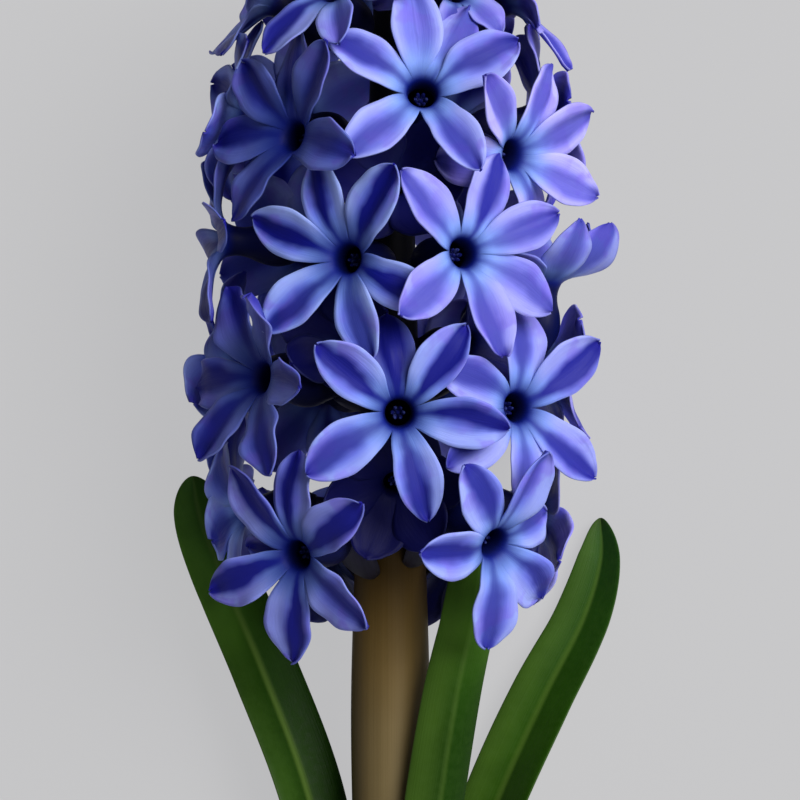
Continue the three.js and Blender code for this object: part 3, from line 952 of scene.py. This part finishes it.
def stemEnds(floret, mouth):
    nod = math.radians(max(0, floret["nod"]))
    rootHeight = floret["height"] - stemShape["below"] - stemShape["nodBelow"] * math.sin(nod)
    square = heading(floret["bearing"])
    root = square * (stalkRadius(rootHeight) - stemShape["inside"]) + np.array([0, 0, rootHeight])
    neck = mouth["place"] - mouth["out"] * floretShape["neck"] * floret["size"]
    return root, neck, square


def stemLine(floret, mouth, t):
    root, neck, square = stemEnds(floret, mouth)
    bow = stemShape["bow"] * np.linalg.norm(neck - root)
    line = [root, root + square * bow, neck - mouth["out"] * bow, neck]
    ahead = unit(bezier(*line, np.minimum(t + 0.01, 1.0)) - bezier(*line, np.maximum(t - 0.01, 0.0)))
    above = unit(np.cross(ahead, mouth["right"]))
    return bezier(*line, t), above, np.cross(ahead, above)


def addStem(stemPattern, floret, mouth):
    stem = copyOf(stemPattern, "stem")
    co = points(stem)
    t = np.clip(co[:, 2], 0, 1)
    middle, above, beside = stemLine(floret, mouth, t)
    # thinner where it leaves the stalk, thicker at the neck
    radius = floretShape["stemRadius"] * (1 - 0.2 * smooth(0.2, 0, t) + 0.15 * smooth(0.85, 1, t))
    place = middle + above * (co[:, 0] * radius)[:, None] + beside * (co[:, 1] * radius)[:, None]
    setPoints(stem, laidDown(place))
    stem.data.materials.append(floretStemAndShade)
    return stem


# A small scale under the stem of each floret, cupped round it: partly the plant's own, made large and
# dark as painted shade between the florets.
bractShape = {
    "length": 11, "halfWidth": 3.6, "drop": 1.9, "cup": 1.2, "skin": 0.25, "shortestStem": 7,
    "outline": [(0, 0.45), (0.3, 1), (0.6, 0.92), (0.85, 0.5), (1, 0.06)],
}


def makeBractPattern():
    deselect()
    bpy.ops.mesh.primitive_grid_add(x_subdivisions=6, y_subdivisions=10, size=2)
    shadeBract = bpy.context.active_object
    shadeBract.name = "bractPattern"
    shadeBract.data.uv_layers[0].name = "lobeMap"
    return shadeBract


def addShadeBract(bractPattern, floret, mouth):
    # one under the floret's stem, or none where the stem is too short for it
    root, neck, _ = stemEnds(floret, mouth)
    stemLength = np.linalg.norm(neck - root)
    if stemLength <= bractShape["shortestStem"]:
        return []
    shadeBract = copyOf(bractPattern, "shadeBract")
    co = points(shadeBract)
    v, u = co[:, 0], (co[:, 1] + 1) / 2
    middle, above, beside = stemLine(floret, mouth, u * min(0.9, bractShape["length"] / stemLength))
    half = bractShape["halfWidth"] * curveThrough(bractShape["outline"], u)
    low = bractShape["drop"] - bractShape["cup"] * v**2
    setPoints(shadeBract, laidDown(middle + beside * (half * v)[:, None] - above * low[:, None]))
    thicken(shadeBract, bractShape["skin"], 0.0)
    shadeBract.data.materials.append(floretStemAndShade)
    return [shadeBract]


# Six anthers round a small pistil, made once on the mouth's axis and copied into each throat.
throatShape = {
    "ring": 0.8, "depth": 3.4, "lean": 14, "antherSize": (0.368, 0.46, 1.2),
    "pistilDepth": 5.2, "pistilSize": (0.75, 0.75, 2.4),
}


def addBall(segments, rings, place, size, turn):
    deselect()
    bpy.ops.mesh.primitive_uv_sphere_add(segments=segments, ring_count=rings, radius=1, location=place)
    ball = bpy.context.active_object
    ball.scale = size
    ball.rotation_euler = turn
    bakeTransform()
    return ball


def makeHeartPattern():
    parts = []
    ring, lean = throatShape["ring"], math.radians(throatShape["lean"])
    for k in range(6):
        turn = math.radians(60 * k)
        place = (ring * math.cos(turn), ring * math.sin(turn), -throatShape["depth"])
        parts.append(addBall(8, 6, place, throatShape["antherSize"], (0, lean, turn)))
    place = (0, 0, -throatShape["pistilDepth"])
    parts.append(addBall(12, 8, place, throatShape["pistilSize"], (0, 0, 0)))
    heart = joined(parts)
    heart.name = "heartPattern"
    for layer in list(heart.data.uv_layers):
        heart.data.uv_layers.remove(layer)
    heart.data.uv_layers.new(name="lobeMap")
    heart.data.materials.append(anther)
    smoothFaces(heart)
    return heart


def addHeart(heartPattern, floret, mouth):
    heart = copyOf(heartPattern, "heart")
    axes = np.array([mouth["right"], mouth["up"], mouth["out"]])
    setPoints(heart, laidDown(mouth["place"] + (points(heart) * floret["size"]) @ axes))
    return heart


def makeFlorets():
    flat = makePattern()
    stemPattern = makeStemPattern()
    bractPattern = makeBractPattern()
    heartPattern = makeHeartPattern()
    weldPattern(flat)
    print("floret pattern:", len(flat.data.vertices), "points")
    values = [getValues(flat, name) for name in pattern["values"]]
    lobeFaces = listLobeFaces(flat, values)
    allFaces = [list(face.vertices) for face in flat.data.polygons]
    placed = []
    made = []
    for floret in listFlorets():
        mouth = mouthFrame(floret)
        bloom = copyOf(flat, f"bloom_{floret['number']:02d}")
        place, tone, band = floretPoints(floret, mouth, lobePoses(mouth, floret), values, lobeFaces, placed)
        placed.append(BVHTree.FromPolygons(place.tolist(), allFaces))
        setPoints(bloom, laidDown(place))
        setValues(bloom, "tone", tone)
        setValues(bloom, "bandDepth", band)
        for name in ("lilacAndLight", "inkAndShade", "mouthShadeReach"):
            setValues(bloom, name, np.full(len(tone), floret[name]))
        bloom.data.materials.append(petalSatin)
        thicken(bloom, floretShape["skin"], -1.0)
        stem = addStem(stemPattern, floret, mouth)
        heart = addHeart(heartPattern, floret, mouth)
        bloom = joined([bloom, stem, heart, *addShadeBract(bractPattern, floret, mouth)])
        setPoints(bloom, offFloor(points(bloom)))
        smoothFaces(bloom)
        for name in pattern["values"]:
            bloom.data.attributes.remove(bloom.data.attributes[name])
        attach(bloom, "root")
        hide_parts(floret["node"])
        made.append(bloom)
    for spare in (flat, stemPattern, bractPattern, heartPattern):
        bpy.data.objects.remove(spare)
    return made


blooms = makeFlorets()
print("florets made:", len(blooms), "with", sum(len(b.data.polygons) for b in blooms), "faces")


# Stalk and leaf: a colour that changes up the length, with coarse and fine grain in colour and bump.
def makeGrainedSkin(name, mapName, look):
    material, tree, shader = newMaterial(name, look["roughness"], look["specular"])
    flat = tree.surfaceMap(mapName)
    coarse = tree.grain(flat, *look["coarseGrain"])
    fine = tree.grain(flat, *look["fineGrain"])
    colour = tree.ramp(flat[1], look["upLength"])
    colour = tree.tint(colour, coarse, *look["coarse"])
    colour = tree.tint(colour, fine, *look["fine"])
    height = tree.math("ADD", coarse, tree.times(fine, look["fineInBump"]))
    tree.bump(shader, height, look["bumpStrength"], look["bumpDistance"])
    return material, tree, shader, flat, colour


stalkLook = {
    "roughness": 0.55, "specular": 0.15, "fineInBump": 0.3, "bumpStrength": 0.2, "bumpDistance": 0.0001,
    # part of the length, colour; the last stops are painted shade, near black where the stalk runs into the
    # head
    "upLength": [(0.0, rgb(158, 154, 92)), (0.12, rgb(118, 105, 72)), (0.28, rgb(104, 90, 60)),
                 (0.36, rgb(116, 92, 44)), (0.415, rgb(80, 56, 13)), (0.465, rgb(18, 13, 12)),
                 (0.55, rgb(8, 7, 18))],
    # amount, colour; left and inHeadShade are painted shade
    "coarse": (0.13, rgb(72, 52, 20)), "fine": (0.06, rgb(150, 130, 90)),
    "clouds": (0.25, rgb(76, 60, 26)), "left": (0.6, rgb(56, 42, 12)), "inHeadShade": (1.0, rgb(7, 6, 14)),
    # lines, stretch and seed
    "coarseGrain": (34.0, 2.2), "fineGrain": (150.0, 5.0, 4.0),
}


def makeStalkMaterial():
    look = stalkLook
    material, tree, shader, flat, colour = makeGrainedSkin("stalkSkin", "stalkMap", look)
    colour = tree.tint(colour, tree.group(softMottle, Size=60.0), *look["clouds"])
    # painted shade: the left side of the stalk, away from the light, is browner and darker
    offLeft = tree.math("SUBTRACT", 0.5, tree.absolute(tree.math("SUBTRACT", flat[0], 0.5)))
    colour = tree.tint(colour, tree.ease(offLeft, 0.02, 0.27, 1.0, 0.0), *look["left"])
    # painted shade: near black inside the head
    colour = tree.tint(colour, tree.ease(flat[1], 0.425, 0.47), *look["inHeadShade"])
    tree.feed(shader["Base Color"], colour)
    return material


def makeCutFace():
    material, tree, shader = newMaterial("cutFace", 0.4, 0.5)
    mottle = tree.group(softMottle, Size=1400.0)
    tree.feed(shader["Base Color"], tree.mix(mottle, rgb(196, 206, 150), rgb(150, 168, 104)))
    return material


stalkSkin = makeStalkMaterial()
cutFace = makeCutFace()


def dress(piece, skin):
    # its skin all over, and a flat cut face on the fan of triangles at its foot
    piece.data.materials.append(skin)
    piece.data.materials.append(cutFace)
    for face in piece.data.polygons:
        face.use_smooth = len(face.vertices) == 4
        if not face.use_smooth and face.center.y < stalkLow.y + 0.02:
            face.material_index = 1


def makeStalk():
    stalk = addTube("flowerStalk", stalkShape["around"], stalkShape["rings"])
    co = points(stalk)
    flat = np.zeros((len(stalk.data.loops), 2))
    for face in stalk.data.polygons:
        turns = [math.atan2(co[v][1], co[v][0]) / (2 * math.pi) for v in face.vertices]
        seam = max(turns) - min(turns) > 0.5
        for loop, turn, v in zip(face.loop_indices, turns, face.vertices):
            flat[loop] = ((turn + 1 if seam and turn < 0 else turn) + 0.5, co[v][2])
    setMap(stalk, "stalkMap", flat)
    height = co[:, 2] * stalkShape["top"]
    angle = np.arctan2(co[:, 1], co[:, 0])
    ribs = stalkShape["rib"] * np.cos(stalkShape["ribs"] * angle + 0.008 * height)
    ribs += stalkShape["fineRib"] * np.cos(stalkShape["fineRibs"] * angle + 1 - 0.02 * height)
    ribs *= smooth(stalkShape["top"], stalkShape["ribsEnd"], height)
    radius = curveThrough(stalkShape["profile"], height) + ribs
    radius *= np.hypot(co[:, 0], co[:, 1])
    place = np.stack([radius * np.cos(angle), radius * np.sin(angle), height], axis=1)
    setPoints(stalk, laidDown(place))
    dress(stalk, stalkSkin)
    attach(stalk, "root")
    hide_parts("stalk")
    return stalk


stalk = makeStalk()
print("stalk made:", round(volumeOf(stalk) * 1e9), "mm3")


# line: the points that the leaf's middle runs through. face: where its channel looks, at the foot
# and at the tip. tipStart: where it starts to narrow. upperLightLowerShade: how much painted light
# lifts its upper part and painted shade darkens the part under it. paintedLitSide: the side that
# painted light makes paler, by its sign, and how much. foldHighlight: how strong the painted highlight
# along its fold is.
leafShape = {
    "thickness": 2, "thinnest": 0.35, "roundness": 2.6, "channel": 2.2, "crease": 0.85, "hood": 0.7,
    "hoodFrom": 0.6, "hoodTo": 0.95, "unswelled": 0.9, "swellEnd": 0.62, "tipPower": 2.1, "tipRoot": 0.6,
    "around": 48, "rings": 119, "tipCrowding": 1.3, "end": 0.9985,
    "leaves": [
        {"name": "leaf_left", "face": (62, 14), "width": 13.6, "tipStart": 0.62,
         "paintedLitSide": -0.2, "foldHighlight": 0.5, "upperLightLowerShade": 0.7,
         "line": [(-8, 1.6, 0), (-10, 3, 15), (-14.8, 6.6, 40), (-23.1, 12.7, 62), (-31, 18, 80),
                  (-34.8, 21.5, 90), (-35.8, 23, 96.5)]},
        {"name": "leaf_right", "face": (-62, -18), "width": 13.2, "tipStart": 0.42,
         "paintedLitSide": -0.45, "foldHighlight": 0.3, "upperLightLowerShade": 0,
         "line": [(7.2, 2.5, 0), (10.2, 3.8, 15), (19.8, 8.4, 40), (27.7, 13.2, 57), (35.4, 18, 72),
                  (38.2, 20.6, 82), (38, 22, 89)]},
        {"name": "leaf_middle", "face": (-150, -168), "width": 11, "tipStart": 0.62,
         "paintedLitSide": 0.5, "foldHighlight": 0.15, "upperLightLowerShade": 0.9,
         "line": [(3.6, -6.6, 0), (5.4, -8.2, 15), (8, -9.8, 38), (11.4, -10.6, 60), (14.4, -9.8, 74),
                  (16, -7.6, 84), (17, -5, 92)]},
    ],
}
leafLook = {
    "roughness": 0.5, "specular": 0.06, "fineInBump": 0.3, "bumpStrength": 0.2, "bumpDistance": 0.0001,
    # part of the length, colour
    "upLength": [(0.0, rgb(160, 176, 96)), (0.08, rgb(58, 92, 16)), (0.22, rgb(34, 66, 6)),
                 (0.7, rgb(30, 66, 8)), (0.93, rgb(32, 70, 24)), (0.985, rgb(26, 48, 16)),
                 (1.0, rgb(34, 26, 10))],
    # amount, colour
    "coarse": (0.14, rgb(18, 44, 4)), "fine": (0.05, rgb(62, 96, 22)), "outer": (0.4, rgb(18, 44, 6)),
    "clouds": (0.25, rgb(16, 40, 4)), "speckles": (0.08, rgb(58, 90, 30)),
    "edge": (0.25, rgb(70, 98, 36)),
    # each leaf has its own amount of these
    "upper": rgb(102, 154, 50), "lower": rgb(20, 48, 4), "paler": rgb(74, 104, 38),
    "fold": rgb(96, 124, 52),
    # lines, stretch and seed
    "coarseGrain": (52.0, 1.6), "fineGrain": (220.0, 6.0, 3.0),
}


def makeLeafMaterial():
    look = leafLook
    material, tree, shader, flat, colour = makeGrainedSkin("leafSkin", "leafMap", look)
    across = tree.math("MULTIPLY_ADD", flat[0], 2.0, -1.0)  # -1 and 1 at the edges
    offFold = tree.absolute(across)
    colour = tree.tint(colour, tree.ease(offFold, 0.25, 1.0), *look["outer"])
    # painted light lifts the upper part of some leaves, mostly on their lit side, and painted shade makes
    # the part under it deeper green
    paintedLitSide = tree.attribute("paintedLitSide")
    upperLightLowerShade = tree.attribute("upperLightLowerShade")
    onPaintedLitSide = tree.times(across, tree.math("SIGN", paintedLitSide))
    upper = tree.times(tree.ease(flat[1], 0.46, 0.68), tree.ease(onPaintedLitSide, -0.3, 0.5, 0.3, 1.0))
    colour = tree.tint(colour, upper, upperLightLowerShade, look["upper"])
    lower = tree.times(tree.ease(flat[1], 0.42, 0.6, 1.0, 0.0), tree.ease(flat[1], 0.06, 0.22))
    colour = tree.tint(colour, lower, upperLightLowerShade, look["lower"])
    # painted light: one side of the fold is paler
    colour = tree.tint(colour, tree.ease(onPaintedLitSide, -0.1, 0.7), tree.absolute(paintedLitSide), look["paler"])
    speckles = tree.group(softMottle, Size=900.0, Seed=2.0)
    colour = tree.tint(colour, tree.group(softMottle, Size=90.0), *look["clouds"])
    colour = tree.tint(colour, speckles, *look["speckles"])
    # painted highlight along the fold
    fold = tree.ease(offFold, 0.0, 0.16, 1.0, 0.0)
    colour = tree.tint(colour, fold, tree.attribute("foldHighlight"), look["fold"])
    colour = tree.tint(colour, tree.ease(offFold, 0.95, 1.0), *look["edge"])
    tree.feed(shader["Base Color"], colour)
    tree.feed(shader["Roughness"], tree.math("MULTIPLY_ADD", speckles, 0.14, 0.34))
    return material


leafSkin = makeLeafMaterial()


# The curve through a leaf's points that the CAD leaf follows: each span's pace suits its length.
def leafLine(line, t):
    line = np.array(line, float)
    last = len(line) - 1
    spot = np.clip(t, 0, 1) * last
    at = np.minimum(np.floor(spot).astype(int), last - 1)
    w = (spot - at)[:, None]
    padded = np.vstack([2 * line[0] - line[1], line, 2 * line[-1] - line[-2]])
    p0, p1, p2, p3 = (padded[at + j] for j in range(4))
    spans = ((p0, p1), (p1, p2), (p2, p3))
    d0, d1, d2 = (np.sqrt(np.linalg.norm(b - a, axis=1))[:, None] for a, b in spans)
    t1 = ((p1 - p0) / d0 - (p2 - p0) / (d0 + d1) + (p2 - p1) / d1) * d1
    t2 = ((p2 - p1) / d1 - (p3 - p1) / (d1 + d2) + (p3 - p2) / d2) * d1
    second = 3 * p2 - 3 * p1 - 2 * t1 - t2
    third = 2 * p1 - 2 * p2 + t1 + t2
    return p1 + t1 * w + second * w**2 + third * w**3


def leafBreadth(along, tipStart):
    # part of the full width: a slow swell from the foot to swellEnd, then even, and round at the tip
    shape = leafShape
    pastStart = np.clip((along - tipStart) / (1 - tipStart), 0, 1)
    taper = np.clip(1 - pastStart ** shape["tipPower"], 0, 1) ** shape["tipRoot"]
    swell = np.sin(math.pi * np.minimum(1, along / shape["swellEnd"]))
    return (shape["unswelled"] + (1 - shape["unswelled"]) * swell) * taper


def makeLeaf(leaf):
    piece = addTube(leaf["name"].replace("leaf_", "strapLeaf_"), leafShape["around"], leafShape["rings"])
    co = points(piece)
    onRim = np.hypot(co[:, 0], co[:, 1]) > 0.5
    angle = np.arctan2(co[:, 1], co[:, 0])
    s = np.cos(angle) * np.where(onRim, 1, 0)  # across the leaf
    # rows draw closer together towards the rounded tip
    end = leafShape["end"]
    along = end - end * (1 - np.clip(co[:, 2], 0, 1)) ** leafShape["tipCrowding"]
    along = np.clip(along, 0, end)
    line = leaf["line"]
    middle = leafLine(line, along)
    before, after = (np.clip(along + step, 0, 1) for step in (-0.004, 0.004))
    ahead = unit(leafLine(line, after) - leafLine(line, before))
    footFace, tipFace = leaf["face"]
    bearing = np.radians(footFace + (tipFace - footFace) * np.sqrt(along))
    inward = np.stack([np.sin(bearing), -np.cos(bearing), 0 * bearing], axis=1)
    across = unit(np.cross(ahead, inward))
    up = np.cross(across, ahead)
    breadth = leafBreadth(along, leaf["tipStart"])
    half = 0.5 * leaf["width"] * breadth
    # a channel that deepens to a hood at the tip, in a body that thins to the edges and the tip
    shape = leafShape
    channel = shape["channel"] * breadth * (shape["crease"] * np.abs(s) + (1 - shape["crease"]) * s**2)
    channel *= 1 + shape["hood"] * smooth(shape["hoodFrom"], shape["hoodTo"], along)
    thick = 0.5 * shape["thickness"] * (shape["thinnest"] + (1 - shape["thinnest"]) * breadth)
    body = np.sqrt(np.clip(1 - np.abs(s) ** shape["roundness"], 0, 1))
    body *= np.where(onRim, np.sign(np.sin(angle)), 0)
    high = channel + thick * (0.86 * body - 0.1)
    place = middle + across * (half * s)[:, None] + up * high[:, None]
    setPoints(piece, laidDown(place))
    for name in ("paintedLitSide", "foldHighlight", "upperLightLowerShade"):
        setValues(piece, name, np.full(len(co), leaf[name]))
    vertexOf = cornerVertices(piece)
    setMap(piece, "leafMap", np.stack([(s[vertexOf] + 1) / 2, along[vertexOf]], axis=1))
    evenNormals(piece)
    if volumeOf(piece) < 0:
        piece.data.flip_normals()
    dress(piece, leafSkin)
    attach(piece, "root")
    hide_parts(leaf["name"])
    return piece


leaves = [makeLeaf(leaf) for leaf in leafShape["leaves"]]
print("leaves made:", [round(volumeOf(leaf) * 1e9) for leaf in leaves])


studio = {
    "floorSize": 3.0, "floorColour": rgb(70, 70, 70), "floorGlow": 0.49, "glowColour": (1, 1, 1.02, 1),
    "worldColour": (0.95, 0.97, 1.0, 1), "worldStrength": 0.12,
    "cameraPlace": (1.75, -700, 110.25), "lens": 180, "lampAim": (0, 0, 115),
    # from: standing, from the middle of the flower towards the lamp
    "lamps": [
        {"name": "keyLight", "from": (0.74, -1.0, 0.6), "distance": 2.2, "size": 1.9, "power": 78,
         "colour": (1.0, 0.98, 0.96)},
        {"name": "lowLight", "from": (0.35, -1.0, -0.8), "distance": 2.0, "size": 1.4, "power": 9,
         "colour": (1.0, 1.0, 1.0)},
    ],
}


def makeFloor():
    deselect()
    bpy.ops.mesh.primitive_plane_add(size=studio["floorSize"], location=(0, 0, 0))
    floor = bpy.context.active_object
    floor.name = "floor"
    material, _, shader = newMaterial("floorPaper", 0.9, 0.1)
    shader["Base Color"].default_value = studio["floorColour"]
    shader["Emission Color"].default_value = studio["glowColour"]
    shader["Emission Strength"].default_value = studio["floorGlow"]
    floor.data.materials.append(material)


def addLamp(lamp):
    data = bpy.data.lights.new(lamp["name"], "AREA")
    data.shape = "DISK"
    data.size = lamp["size"]
    data.energy = lamp["power"]
    data.color = lamp["colour"]
    made = bpy.data.objects.new(lamp["name"], data)
    scene.collection.objects.link(made)
    aim = turned(lamp["from"]).normalized()
    made.location = Vector(laidDown(studio["lampAim"])) + aim * lamp["distance"]
    made.rotation_euler = aim.to_track_quat("Z", "Y").to_euler()


def makeWorld():
    world = bpy.data.worlds.new("softWorld")
    scene.world = world
    world.use_nodes = True
    background = world.node_tree.nodes["Background"]
    background.inputs["Color"].default_value = studio["worldColour"]
    background.inputs["Strength"].default_value = studio["worldStrength"]


def makeCamera():
    # square to the stalk, looking at the flower's open side
    data = bpy.data.cameras.new("camera")
    data.lens = studio["lens"]
    data.sensor_width = 36
    data.clip_end = 10
    camera = bpy.data.objects.new("camera", data)
    scene.collection.objects.link(camera)
    camera.location = Vector(laidDown(studio["cameraPlace"]))
    right, up, back = turned((1, 0, 0)), turned((0, 0, 1)), turned((0, -1, 0))
    camera.rotation_euler = Matrix((right, up, back)).transposed().to_euler()
    scene.camera = camera


def makeStudio():
    makeFloor()
    makeWorld()
    for lamp in studio["lamps"]:
        addLamp(lamp)
    makeCamera()
    scene.view_settings.view_transform = "Standard"


makeStudio()
print("studio made")
